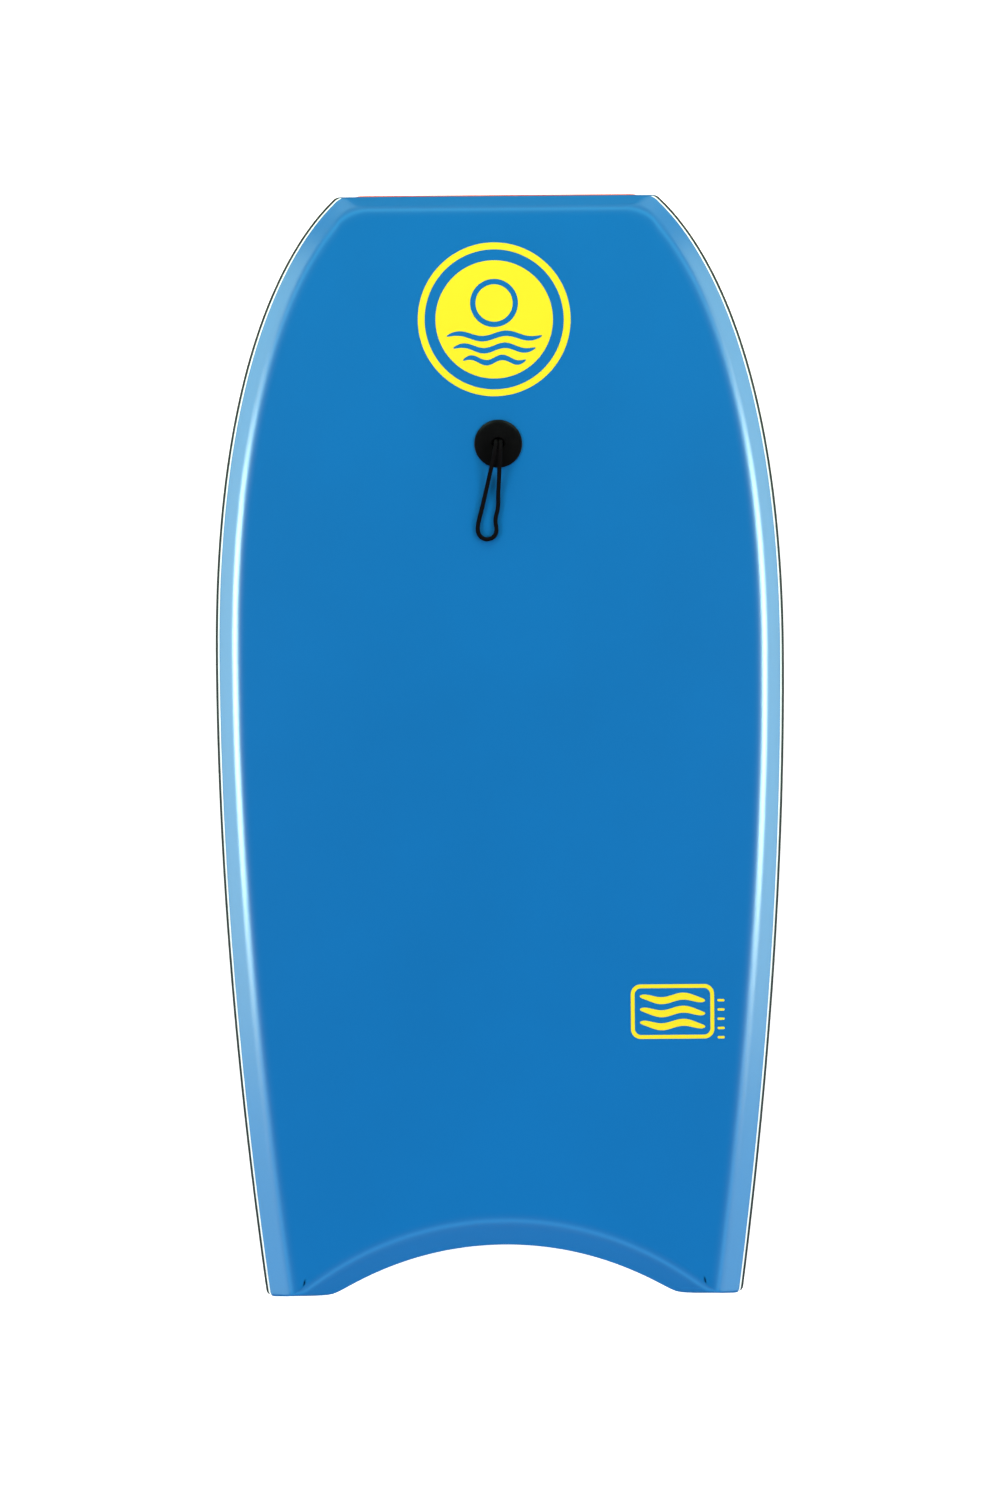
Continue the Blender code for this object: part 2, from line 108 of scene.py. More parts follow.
# Heights in the flat stack
SLICK_TOP = 1.5 * MM
SEAM = 0.06 * MM
EDGE_FOOT = SLICK_TOP + SEAM
RAIL_PEAK = 28 * MM
STRIPE_BOTTOM = 34.4 * MM

# The outer edge: how far it is set in at its foot on the slick and at its top under the skin
NOSE_FOOT_INSET = 0.9 * MM
NOSE_TOP_INSET = 5.4 * MM
SIDE_FOOT_INSET = 6.3 * MM
SIDE_TOP_INSET = 3.9 * MM
TAIL_FOOT_INSET = 2.5 * MM
FOOT_CURVE = 2.2
TOP_CURVE = 1.2

# The slick: its rim, and how far it is set in
SLICK_RIM = 0.5 * MM
SLICK_SIDE_INSET = 6.5 * MM
SLICK_TAIL_INSET = 2.5 * MM

# The deck skin's crest, rolled from the chine onto the deck, and a painted highlight that makes a band of it
# a paler blue
SKIN_THICKNESS = 3 * MM
CREST_ROLL = 5.2 * MM
CREST_REACH = 9 * MM
CREST_MARGIN = 2 * MM
ROLL_STEPS = np.linspace(0, 1, 19)
PAINTED_HIGHLIGHT_AT = 0.46
PAINTED_HIGHLIGHT_SPREAD = 0.13

# Foam edges, and how deep the edge strips go
FOAM_ROUNDING = 0.5 * MM
ROUNDING_INSET = 0.7 * FOAM_ROUNDING
ROUNDING_STEPS = (0.0, 0.3, 1.0)
RAIL_DEPTH = 8.6 * MM
BUMPER_DEPTH = 12.9 * MM

# The leash plug, its heights measured from the deck along the bore
PLUG_HOLE_RADIUS = 12 * MM
BORE_RADIUS = 5.5 * MM
FLANGE_RADIUS = 22 * MM
LIP_RADIUS = 0.9 * MM
LIP_HEIGHT = 3.6 * MM
FLANGE_RIM_RADIUS = 0.8 * MM
DOME_FOOT = 1.5 * MM
DOME_RISE = 3.0 * MM
BARREL_RADIUS = 8.4 * MM
BARREL_FOOT = -26 * MM
THREAD_RADIUS = 9.0 * MM
THREAD_TOP = -3 * MM
THREAD_PITCH = 2 * MM
THREAD_TURNS = 11

# The cord: where its two ends leave the bore, where its bend ends, and the knot below the barrel
CORD_DIAMETER = 4 * MM
STRAND_ASIDE = 2.1 * MM
STRAND_AHEAD = 2.0 * MM
EXIT_HEIGHT = 3.0 * MM
STRAND_FOOT = -32.0 * MM
KNOT_HEIGHT = -33.5 * MM
KNOT_SIZE = 2.05 * MM
BRAID_STRANDS = 8
BRAID_PITCH = 13 * MM
BRAID_DEPTH = 0.26 * MM
CORD_ROUND = 56

# Prints: the badge by the nose, the tag by the right rail and the dashes beside it
INK_LIFT = 0.05 * MM
INK_THICKNESS = 0.08 * MM
INK_STEP = 8 * MM
BADGE_CENTRE = (-2.8 * MM, 388.8 * MM)
BADGE_RING_RADII = (70 * MM, 63.8 * MM)
BADGE_DISC_RADIUS = 53.8 * MM
SUN_RADII = (22 * MM, 17 * MM)
SUN_AHEAD = 15 * MM
BADGE_WAVE = {"half_height": 2.6 * MM, "swing": 2.4 * MM, "waves": 2.0}
BADGE_WAVES = ((-15 * MM, 44 * MM), (-26 * MM, 38 * MM), (-37 * MM, 29 * MM))
TAG_CENTRE = (156 * MM, -247 * MM)
TAG_SIZE = (76.5 * MM, 50 * MM)
TAG_LINE = 3.5 * MM
TAG_CORNER = 9 * MM
TAG_INNER_CORNER = 6 * MM
TAG_WAVE = {"half_height": 3.2 * MM, "swing": 2.0 * MM, "waves": 1.5}
TAG_WAVE_REACH = 30 * MM
TAG_WAVES = (-12 * MM, 0, 12 * MM)
DASH_PLACE = (200.5 * MM, -271 * MM)
DASH_SIZE = (6.5 * MM, 2.2 * MM)
DASH_CORNER = 1 * MM
DASH_PITCH = 8.5 * MM
DASH_COUNT = 5


# The numbers of a ring: how far it is set in at five places, and its height in the flat stack
AT_NOSE, AT_SIDE, AT_SIDE_TAIL, AT_PAD, AT_CRESCENT, HEIGHT = range(6)
INSETS = slice(0, HEIGHT)


def ring(nose, side, side_tail, pad, crescent, height):
    """A ring, set in at the nose, the sides, their tail ends, the tail's pads and its crescent."""
    return np.array([nose, side, side_tail, pad, crescent, height])


SKIN_CREST = ring(18.4 * MM, 21 * MM, 25 * MM, 2 * MM, 24.6 * MM, THICKNESS)
SKIN_OUTER_FOOT = ring(NOSE_TOP_INSET, SIDE_TOP_INSET, SIDE_TOP_INSET, 0, 0, SKIN_FOOT)


def edge_ring(height):
    """The board's outer edge between the slick and the deck skin, at this height."""
    share = (height - SLICK_TOP) / (SKIN_FOOT - SLICK_TOP)
    nose = NOSE_FOOT_INSET + (NOSE_TOP_INSET - NOSE_FOOT_INSET) * share
    if height < RAIL_PEAK:
        side = SIDE_FOOT_INSET * ((RAIL_PEAK - height) / (RAIL_PEAK - SLICK_TOP)) ** FOOT_CURVE
    else:
        side = SIDE_TOP_INSET * ((height - RAIL_PEAK) / (SKIN_FOOT - RAIL_PEAK)) ** TOP_CURVE
    tail = TAIL_FOOT_INSET * (1 - share) ** 2
    return ring(nose, side, side, tail, tail, height)


# ---------------------------------------------------------------- outline


def outline_samples():
    """The side of the outline, run on straight past the nose and tail corners."""
    ahead = [Vector((*p, 0)) for p in (NOSE_CORNER, NOSE_HANDLE, WIDEST_HANDLE_AHEAD, WIDEST)]
    behind = [Vector((*p, 0)) for p in (WIDEST, WIDEST_HANDLE_BEHIND, TAIL_HANDLE, TAIL_CORNER)]
    points = interpolate_bezier(*ahead, OUTLINE_COUNT) + interpolate_bezier(*behind, OUTLINE_COUNT)[1:]
    before = points[0] + (points[0] - points[1]).normalized() * END_TANGENT
    after = points[-1] + (points[-1] - points[-2]).normalized() * END_TANGENT
    return np.array([(p.x, p.y) for p in [before, *points, after]])


OUTLINE = outline_samples()
ALONG = np.gradient(OUTLINE, axis=0)
ALONG /= np.linalg.norm(ALONG, axis=1)[:, None]


def half_width(y, level):
    """Half the board's width at y on a ring."""
    aft = np.clip(-OUTLINE[:, 1] / NOSE, 0, 1)
    inset = level[AT_SIDE] + (level[AT_SIDE_TAIL] - level[AT_SIDE]) * aft
    inner_x = OUTLINE[:, 0] + ALONG[:, 1] * inset
    inner_y = OUTLINE[:, 1] - ALONG[:, 0] * inset
    return np.interp(-np.asarray(y), -inner_y, inner_x)


def tail_line(x, level):
    """The tail edge's y at x on a ring: the crescent's arc, run smoothly into the flat pad."""
    reach = np.minimum(np.abs(x), CRESCENT_RADIUS * 0.9)
    drop = CRESCENT_RADIUS - np.sqrt(CRESCENT_RADIUS ** 2 - reach ** 2)
    arc = TAIL + CRESCENT_DEPTH - drop + level[AT_CRESCENT]
    pad = TAIL + level[AT_PAD]
    return (arc + pad + np.hypot(arc - pad, 2 * PAD_BLEND)) / 2 - PAD_BLEND ** 2 / CRESCENT_DEPTH


def side_corner(y, level):
    """Where the side meets the nose or tail line of a ring, and the side's direction there."""
    step = 1 * MM
    here = np.array([half_width(y, level), y])
    below = np.array([half_width(y - step, level), y - step])
    return here, (below - here) / np.linalg.norm(below - here)


def curve(start, corner, end, t):
    """The place at t, 0 to 1, on the curve from start to end that turns towards corner."""
    return (1 - t) ** 2 * start + 2 * t * (1 - t) * corner + t ** 2 * end


def corner_curve(corner, way_in, way_out, setback):
    """Points on the curve that rounds a corner of a ring."""
    start = corner - np.array(way_in) * setback
    end = corner + np.array(way_out) * setback
    return curve(start, corner, end, np.linspace(0, 1, CORNER_COUNT)[:, None])


# How many points each stretch of a half ring has, and where its strips join and its cap's rungs end
NOSE_COUNT = 10
CORNER_COUNT = 11
SIDE_COUNT = 150
PAD_COUNT = 14
CRESCENT_COUNT = 64
NOSE_JOINT = NOSE_COUNT + CORNER_COUNT // 2
TAIL_JOINT = NOSE_COUNT + CORNER_COUNT + SIDE_COUNT + CORNER_COUNT // 2
SIDE_START = NOSE_COUNT + CORNER_COUNT
SIDE_END = SIDE_START + SIDE_COUNT
LAST_RUNG = SIDE_END - 18


def half_plan(level):
    """Half of a ring in plan, from the middle of the nose round to the middle of the tail."""
    nose_y = NOSE - level[AT_NOSE]
    nose_corner, nose_way = side_corner(nose_y, level)
    nose_setback = NOSE_ROUNDING + level[AT_SIDE] * NOSE_ROUNDING_GAIN
    nose_round = corner_curve(nose_corner, (1, 0), nose_way, nose_setback)
    tail_corner, tail_way = side_corner(TAIL + level[AT_PAD], level)
    tail_setback = max(TAIL_ROUNDING_LEAST, TAIL_ROUNDING - level[AT_SIDE] * TAIL_ROUNDING_LOSS)
    tail_round = corner_curve(tail_corner, tail_way, (-1, 0), tail_setback)
    nose_x = np.linspace(0, nose_round[0, 0], NOSE_COUNT + 1)[:-1]
    side_y = np.linspace(nose_round[-1, 1], tail_round[0, 1], SIDE_COUNT + 2)[1:-1]
    depth = CRESCENT_DEPTH + level[AT_CRESCENT] - level[AT_PAD]
    joint_x = math.sqrt(CRESCENT_RADIUS ** 2 - (CRESCENT_RADIUS - depth) ** 2) - PAD_REACH
    pad_x = np.linspace(tail_round[-1, 0], joint_x, PAD_COUNT + 1)[1:]
    crescent_x = np.linspace(joint_x, 0, CRESCENT_COUNT + 1)[1:]
    tail_x = np.concatenate([pad_x, crescent_x])
    return np.vstack([
        np.column_stack([nose_x, np.full(NOSE_COUNT, nose_y)]),
        nose_round,
        np.column_stack([half_width(side_y, level), side_y]),
        tail_round,
        np.column_stack([tail_x, tail_line(tail_x, level)]),
    ])


def rise(y):
    """How far the rocker lifts the board at y."""
    return NOSE_RISE * (np.maximum(0, y) / NOSE) ** RISE_POWER


def foil(y):
    """Share of the full thickness left at y."""
    return 1 - NOSE_THINNING * (np.maximum(0, y) / NOSE) ** 2


def bent(points):
    """Points of the flat stack, carried to the rockered board."""
    points = np.array(points, float)
    points[:, 2] = rise(points[:, 1]) + points[:, 2] * foil(points[:, 1])
    return points


def half_ring(level):
    """Half of a ring as bent points."""
    plan = half_plan(level)
    return bent(np.column_stack([plan, np.full(len(plan), level[HEIGHT])]))


def full_ring(level):
    """A whole ring as bent points, from the middle of the nose once round."""
    right = half_ring(level)
    left = right[-2:0:-1] * (-1, 1, 1)
    return np.vstack([right, left])


# ---------------------------------------------------------------- meshes


def linked_object(name, data):
    """A new object in the scene for some data."""
    piece = bpy.data.objects.new(name, data)
    bpy.context.scene.collection.objects.link(piece)
    return piece


def object_from(name, mesh):
    """A new object in the scene from an edit mesh, which it frees."""
    data = bpy.data.meshes.new(name)
    mesh.to_mesh(data)
    mesh.free()
    return linked_object(name, data)


def mesh_object(name, vertices, faces, sharp_angle=35):
    """A smooth-shaded object from points and faces, turned outwards."""
    data = bpy.data.meshes.new(name)
    data.from_pydata([tuple(map(float, v)) for v in vertices], [], [tuple(map(int, f)) for f in faces])
    mesh = bmesh.new()
    mesh.from_mesh(data)
    bmesh.ops.recalc_face_normals(mesh, faces=mesh.faces)
    mesh.to_mesh(data)
    mesh.free()
    data.shade_smooth()
    data.set_sharp_from_angle(angle=math.radians(sharp_angle))
    return linked_object(name, data)


def loft_faces(rows, count, around):
    """Quads between numbered rows of count points each; around closes each row on itself."""
    faces = []
    last = count if around else count - 1
    for low, high in zip(rows, rows[1:]):
        for i in range(last):
            j = (i + 1) % count
            faces.append((low * count + i, low * count + j, high * count + j, high * count + i))
    return faces


def end_faces(rows, count):
    """The flat ends of a tube of rings."""
    return [list(range(count)), [(rows - 1) * count + i for i in range(count)]]


def cap_faces(row, count):
    """A level cap over one closed ring, in cross strips that follow the rocker."""
    first = row * count
    half = count // 2

    def right(i):
        return first + i

    def left(i):
        return first + (count - i) % count

    nose = [*map(right, range(SIDE_START + 1)), *map(left, range(SIDE_START, 0, -1))]
    tail = [*map(right, range(LAST_RUNG, half + 1)), *map(left, range(half - 1, LAST_RUNG - 1, -1))]
    rungs = [[right(i), right(i + 1), left(i + 1), left(i)] for i in range(SIDE_START, LAST_RUNG)]
    return [nose, *rungs, tail]


def skin(name, levels):
    """A closed skin: a loft through full rings from a lower cap to an upper cap."""
    rings = [full_ring(level) for level in levels]
    count = len(rings[0])
    faces = loft_faces(range(len(rings)), count, True)
    faces += cap_faces(0, count) + cap_faces(len(rings) - 1, count)
    return mesh_object(name, np.vstack(rings), faces)


def edge_stretch(level, first, last, side):
    """A stretch of a ring: on one side, or with its mirror image when side is 0."""
    right = half_ring(level)[first:last]
    if side:
        return right * (side, 1, 1)
    if first == 0:
        return np.vstack([right[:0:-1] * (-1, 1, 1), right])
    return np.vstack([right, right[-2::-1] * (-1, 1, 1)])


def strip(name, levels, first, last, side):
    """A foam strip along part of the edge, from its outer face in to its depth.

    side is 1 or -1 for one rail, and 0 for a bumper that crosses the centreline.
    """
    inner = [ring(BUMPER_DEPTH, RAIL_DEPTH, RAIL_DEPTH, RAIL_DEPTH, RAIL_DEPTH, level[HEIGHT])
             for level in levels]
    rows = [edge_stretch(level, first, last, side) for level in [*levels, *inner[::-1]]]
    count = len(rows[0])
    total = len(rows)
    faces = loft_faces([*range(total), 0], count, False)
    for end in (0, count - 1):
        for k in range(len(levels) - 1):
            corners = (k, k + 1, total - 2 - k, total - 1 - k)
            faces.append([row * count + end for row in corners])
    return mesh_object(name, np.vstack(rows), faces)


def inset_by(level, inset):
    """A ring set in by this much more all round."""
    level = level.copy()
    level[INSETS] += inset
    return level


def drawn_in(level, share):
    """A ring near a rounded foam edge, share of the rounding away from the edge itself."""
    return inset_by(level, ROUNDING_INSET * (1 - share) ** 2)


def soft_edged(low, high, steps):
    """Rings of an edge face from one height to another, its two foam edges rounded in."""
    foot = [drawn_in(edge_ring(low + FOAM_ROUNDING * share), share) for share in ROUNDING_STEPS]
    heights = np.linspace(low + FOAM_ROUNDING, high - FOAM_ROUNDING, steps)[1:-1]
    top = [drawn_in(edge_ring(high - FOAM_ROUNDING * share), share) for share in ROUNDING_STEPS[::-1]]
    return [*foot, *map(edge_ring, heights), *top]


# ---------------------------------------------------------------- materials


class Nodes:
    """Short calls for building a material's node tree."""

    def __init__(self, name, roughness, color):
        self.material = bpy.data.materials.new(name)
        self.material.use_nodes = True
        self.material.diffuse_color = (*color, 1)
        self.tree = self.material.node_tree
        self.shader = self.tree.nodes["Principled BSDF"]
        self.shader.inputs["Roughness"].default_value = roughness
        self.shader.inputs["Base Color"].default_value = (*color, 1)
        coordinates = self.tree.nodes.new("ShaderNodeTexCoord")
        self.place = coordinates.outputs["Object"]

    def add(self, kind, inputs=None, **settings):
        """A new node with these settings and inputs."""
        node = self.tree.nodes.new(kind)
        for key, value in settings.items():
            setattr(node, key, value)
        for key, value in (inputs or {}).items():
            self.feed(node.inputs[key], value)
        return node

    def feed(self, socket, value):
        """Link a socket to another one, or give it a value."""
        if isinstance(value, bpy.types.NodeSocket):
            self.tree.links.new(value, socket)
        else:
            socket.default_value = value

    def set(self, **inputs):
        """Feed the shader's sockets, their names written with underscores."""
        for key, value in inputs.items():
            self.feed(self.shader.inputs[key.replace("_", " ")], value)

    def noise(self, scale, detail=2.0, roughness=0.5, place=None):
        """Noise, 0 to 1."""
        inputs = {"Scale": scale, "Detail": detail, "Roughness": roughness, "Vector": place or self.place}
        return self.add("ShaderNodeTexNoise", inputs).outputs["Fac"]

    def cells(self, scale, feature):
        """Distances in a pattern of cells."""
        inputs = {"Scale": scale, "Vector": self.place}
        return self.add("ShaderNodeTexVoronoi", inputs, feature=feature).outputs["Distance"]

    def stretched(self, scale):
        """The place, scaled along each axis."""
        node = self.add("ShaderNodeMapping", {"Vector": self.place, "Scale": scale})
        return node.outputs["Vector"]

    def span(self, value, low, high, from_low=0.0, from_high=1.0):
        """A value carried from one range to another, and kept inside it."""
        inputs = {"Value": value, "From Min": from_low, "From Max": from_high, "To Min": low, "To Max": high}
        return self.add("ShaderNodeMapRange", inputs).outputs["Result"]

    def mix(self, share, first, second):
        """A colour between two others."""
        node = self.add("ShaderNodeMix", data_type="RGBA")
        self.feed(node.inputs[0], share)
        self.feed(node.inputs[6], (*first, 1) if isinstance(first, tuple) else first)
        self.feed(node.inputs[7], (*second, 1) if isinstance(second, tuple) else second)
        return node.outputs[2]

    def bump(self, height, distance, strength=1.0, under=None):
        """A normal tilted by a height map, on top of another bump if there is one."""
        inputs = {"Height": height, "Distance": distance, "Strength": strength}
        if under is not None:
            inputs["Normal"] = under
        return self.add("ShaderNodeBump", inputs).outputs["Normal"]


def shade(color, factor):
    """A colour made lighter or darker."""
    return tuple(min(1.0, c * factor) for c in color)


def foam_material(name, color, roughness, grain=1.0, gloss=0.5, painted_highlight=None):
    """Closed-cell foam skin: a fine pebble, faint waves from lamination, slight mottling."""
    nodes = Nodes(name, roughness, color)
    mottle = nodes.noise(9, 2)
    speck = nodes.noise(700, 1)
    base = nodes.mix(nodes.span(mottle, 0, 1, 0.3, 0.7), shade(color, 0.975), shade(color, 1.025))
    base = nodes.mix(nodes.span(speck, 0, 0.03, 0.35, 0.75), base, shade(color, 1.25))
    # Painted highlight: a paler blue mixed into the foam's colour along the marked band of the crest
    if painted_highlight:
        painted_highlight_mask = nodes.add("ShaderNodeAttribute", attribute_name="painted_highlight").outputs["Fac"]
        base = nodes.mix(painted_highlight_mask, base, painted_highlight)
    waves = nodes.bump(nodes.noise(14, 2), 1.2 * MM, 0.10)
    dimples = nodes.bump(nodes.cells(420, "SMOOTH_F1"), 0.10 * MM, 0.12 * grain, waves)
    pebble = nodes.bump(nodes.noise(1500, 2), 0.05 * MM, 0.18 * grain, dimples)
    nodes.set(Base_Color=base, Normal=pebble, Specular_IOR_Level=gloss)
    return nodes.material


def slick_material(color):
    """Glossy HDPE sheet: faint lines along the extrusion and hair-fine scuffs."""
    nodes = Nodes("slick_hdpe", 0.24, color)
    along = nodes.stretched((60, 2.0, 60))
    lines = nodes.noise(6, 4, 0.6, along)
    scuffs = nodes.noise(14, 6, 0.7, nodes.stretched((25, 4, 25)))
    base = nodes.mix(nodes.span(lines, 0, 1, 0.35, 0.65), shade(color, 0.94), shade(color, 1.04))
    rough = nodes.span(scuffs, 0.18, 0.36, 0.35, 0.7)
    normal = nodes.bump(lines, 0.08 * MM, 0.25)
    nodes.set(Base_Color=base, Roughness=rough, Normal=normal)
    return nodes.material


def plastic_material(name, color, roughness):
    """Moulded plastic with a fine spark-eroded texture."""
    nodes = Nodes(name, roughness, color)
    speckle = nodes.noise(2600, 2)
    base = nodes.mix(nodes.span(nodes.noise(120, 3), 0, 1, 0.3, 0.7), shade(color, 0.85), shade(color, 1.3))
    rough = nodes.span(nodes.noise(300, 3), roughness - 0.05, roughness + 0.08, 0.3, 0.7)
    nodes.set(Base_Color=base, Roughness=rough, Normal=nodes.bump(speckle, 0.03 * MM, 0.3))
    nodes.set(Specular_IOR_Level=0.2)
    return nodes.material


def bead_material(color):
    """Expanded polystyrene: pressed beads with darker joints between them."""
    nodes = Nodes("eps_beads", 0.75, color)
    joints = nodes.cells(300, "DISTANCE_TO_EDGE")
    base = nodes.mix(nodes.span(joints, 0, 1, 0.0, 0.12), shade(color, 0.72), color)
    nodes.set(Base_Color=base, Normal=nodes.bump(nodes.span(joints, 0, 1, 0.0, 0.2), 0.4 * MM, 0.6))
    return nodes.material


def cord_material(color):
    """Braided polyester: fine dark filaments."""
    nodes = Nodes("cord_braid", 0.9, color)
    fibres = nodes.noise(5200, 3)
    base = nodes.mix(nodes.span(fibres, 0, 1, 0.35, 0.7), shade(color, 0.5), shade(color, 1.6))
    nodes.set(Base_Color=base, Normal=nodes.bump(fibres, 0.06 * MM, 0.5), Specular_IOR_Level=0.1)
    return nodes.material


def ink_material(color):
    """Screen-printed ink that takes up the foam's pebble and mottling."""
    return foam_material("print_ink", color, 0.4, grain=0.6)


# Colours
BLUE = (0.0016, 0.1365, 0.397)
# A paler blue painted along the rolled crest as a painted highlight
PAINTED_HIGHLIGHT_BLUE = (0.006, 0.190, 0.490)
# The deck's blue made darker for the bumpers: painted shade on the nose and tail ends
SHADED_BUMPER_BLUE = (0.0070, 0.125, 0.345)
WHITE = (0.80, 0.86, 0.87)
DARK = (0.012, 0.017, 0.021)
CORAL = (0.80, 0.105, 0.075)
YELLOW = (0.78, 0.66, 0.018)
BLACK = (0.0028, 0.0027, 0.0030)
CORD_BLACK = (0.0040, 0.0032, 0.0038)
BEAD_WHITE = (0.86, 0.87, 0.88)
UNDERLAY_GREY = (0.78, 0.8, 0.81)


# ---------------------------------------------------------------- skins


def dress(piece, material):
    """Give a piece its one material."""
    piece.data.materials.clear()
    piece.data.materials.append(material)


def finish_piece(piece, material, slot, body, *nodes):
    """Material, body and the CAD nodes that a piece stands for. The slot argument is not used."""
    dress(piece, material)
    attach(piece, body)
    if nodes:
        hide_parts(*nodes)
    return piece


def mark_painted_highlight(piece, ring_count):
    """Mark a band of the rolled crest that a painted highlight makes a little lighter in colour."""
    weights = np.zeros(ring_count)
    weights[-1 - len(ROLL_STEPS):-1] = np.exp(-((ROLL_STEPS - PAINTED_HIGHLIGHT_AT) / PAINTED_HIGHLIGHT_SPREAD) ** 2)
    marks = piece.data.attributes.new("painted_highlight", "FLOAT", "POINT")
    marks.data.foreach_set("value", np.repeat(weights, len(piece.data.vertices) // ring_count))


def chine_rings():
    """The skin's outer face: a softened foot, the slope, then the rolled crest onto the deck."""
    slope = (SKIN_OUTER_FOOT - SKIN_CREST) / SKIN_RISE
    foot = [drawn_in(SKIN_OUTER_FOOT - slope * FOAM_ROUNDING * share, share) for share in ROUNDING_STEPS]
    roll_start = SKIN_CREST + slope * CREST_ROLL
    roll_end = inset_by(SKIN_CREST, CREST_REACH)
    chine = [foot[-1] + (roll_start - foot[-1]) * share for share in (0.25, 0.5, 0.75)]
    roll = [curve(roll_start, SKIN_CREST, roll_end, t) for t in ROLL_STEPS]
    return [*foot, *chine, *roll, inset_by(roll_end, CREST_MARGIN)]


def inner_skin_rings():
    """The skin's inner foot and inner crest, a skin thickness inside its outer face."""
    run = SKIN_CREST[INSETS] - SKIN_OUTER_FOOT[INSETS]
    foot = inset_by(SKIN_OUTER_FOOT, SKIN_THICKNESS / np.sin(np.arctan2(SKIN_RISE, run)))
    crest = inset_by(foot, (SKIN_RISE - SKIN_THICKNESS) * run / SKIN_RISE)
    crest[HEIGHT] = THICKNESS - SKIN_THICKNESS
    return [crest, foot]


def drill(piece):
    """Cut the leash plug's hole through a layer."""
    mesh = bmesh.new()
    bmesh.ops.create_cone(mesh, cap_ends=True, segments=64, radius1=PLUG_HOLE_RADIUS,
                          radius2=PLUG_HOLE_RADIUS, depth=0.3, matrix=PLUG)
    cutter = object_from("drill", mesh)
    cut = piece.modifiers.new("Plug hole", "BOOLEAN")
    cut.operation = "DIFFERENCE"
    cut.object = cutter
    apply_modifiers(piece)
    bpy.data.objects.remove(cutter, do_unlink=True)


def apply_modifiers(piece):
    """Keep a piece's evaluated mesh and drop its modifiers."""
    graph = bpy.context.evaluated_depsgraph_get()
    data = bpy.data.meshes.new_from_object(piece.evaluated_get(graph))
    data.name = piece.name
    piece.modifiers.clear()
    piece.data = data


def build_deck_skin(material):
    """The deck's foam skin with its chines, tail bevel and rolled crest."""
    levels = inner_skin_rings() + chine_rings()
    piece = skin("deck_foam_skin", levels)
    # The band of the crest that gets the painted highlight
    mark_painted_highlight(piece, len(levels))
    drill(piece)
    return finish_piece(piece, material, "deck_foam", "board", "deck_skin")


def slick_ring(share, height):
    """A ring of the slick, drawn in by a share of its rim."""
    edge = ring(0, SLICK_SIDE_INSET, SLICK_SIDE_INSET, SLICK_TAIL_INSET, SLICK_TAIL_INSET, height)
    return inset_by(edge, SLICK_RIM * share ** 2)


def build_slick(material):
    """The slick: a thin sheet with a rounded rim."""
    foot = [slick_ring(share, SLICK_RIM * (1 - share)) for share in (1.0, 0.3, 0.0)]
    top = [slick_ring(share, SLICK_TOP - SLICK_RIM * (1 - share)) for share in (0.0, 0.3, 1.0)]
    piece = skin("slick_sheet", foot + top)
    drill(piece)
    return finish_piece(piece, material, "slick", "board", "slick_skin")


def build_edges(dark, white, bumper):
    """The rails and bumpers, each a foam strip with rounded edges."""
    rail = (NOSE_JOINT, TAIL_JOINT + 1)
    lower = soft_edged(EDGE_FOOT, STRIPE_BOTTOM - SEAM / 2, 16)
    stripe = soft_edged(STRIPE_BOTTOM + SEAM / 2, SKIN_FOOT - SEAM, 6)
    whole = soft_edged(EDGE_FOOT, SKIN_FOOT - SEAM, 18)
    for side, word in ((-1, "left"), (1, "right")):
        finish_piece(strip("rail_dark_" + word, lower, *rail, side), dark, "rail_dark", "board",
                     "lower_rail_" + word)
        finish_piece(strip("rail_white_" + word, stripe, *rail, side), white, "rail_white", "board",
                     "rail_stripe_" + word)
    finish_piece(strip("bumper_nose", whole, 0, NOSE_JOINT + 1, 0), bumper, "bumper_foam", "board",
                 "nose_bumper")
    finish_piece(strip("bumper_tail", whole, TAIL_JOINT, None, 0), bumper, "bumper_foam", "board",
                 "tail_bumper")


# ---------------------------------------------------------------- leash plug


def plug_matrix():
    """The plug's own axes: its origin on the deck, Z out along the bore."""
    joint = JOINTS["cord_swivel"]
    out = Vector(joint["axis"]).normalized()
    right = Vector((1, 0, 0))
    return Matrix.Translation(joint["pos_m"]) @ Matrix((right, out.cross(right), out)).transposed().to_4x4()


PLUG = plug_matrix()
PLUG_SEGMENTS = 96


def turned(name, profile, closed):
    """A piece turned about the plug's axis from radii and heights, its profile closed or capped."""
    angles = np.linspace(0, 2 * math.pi, PLUG_SEGMENTS, endpoint=False)
    rows = [[(r * math.cos(a), r * math.sin(a), z) for a in angles] for r, z in profile]
    order = [*range(len(profile))]
    if closed:
        faces = loft_faces([*order, 0], PLUG_SEGMENTS, True)
    else:
        faces = loft_faces(order, PLUG_SEGMENTS, True) + end_faces(len(order), PLUG_SEGMENTS)
    piece = mesh_object(name, np.vstack(rows), faces)
    piece.matrix_world = PLUG
    return piece


def arc_profile(centre, radius, start, end, count):
    """Points of a turned profile along an arc, in degrees from level outwards."""
    angles = np.radians(np.linspace(start, end, count))
    return [(centre[0] + radius * math.cos(a), centre[1] + radius * math.sin(a)) for a in angles]


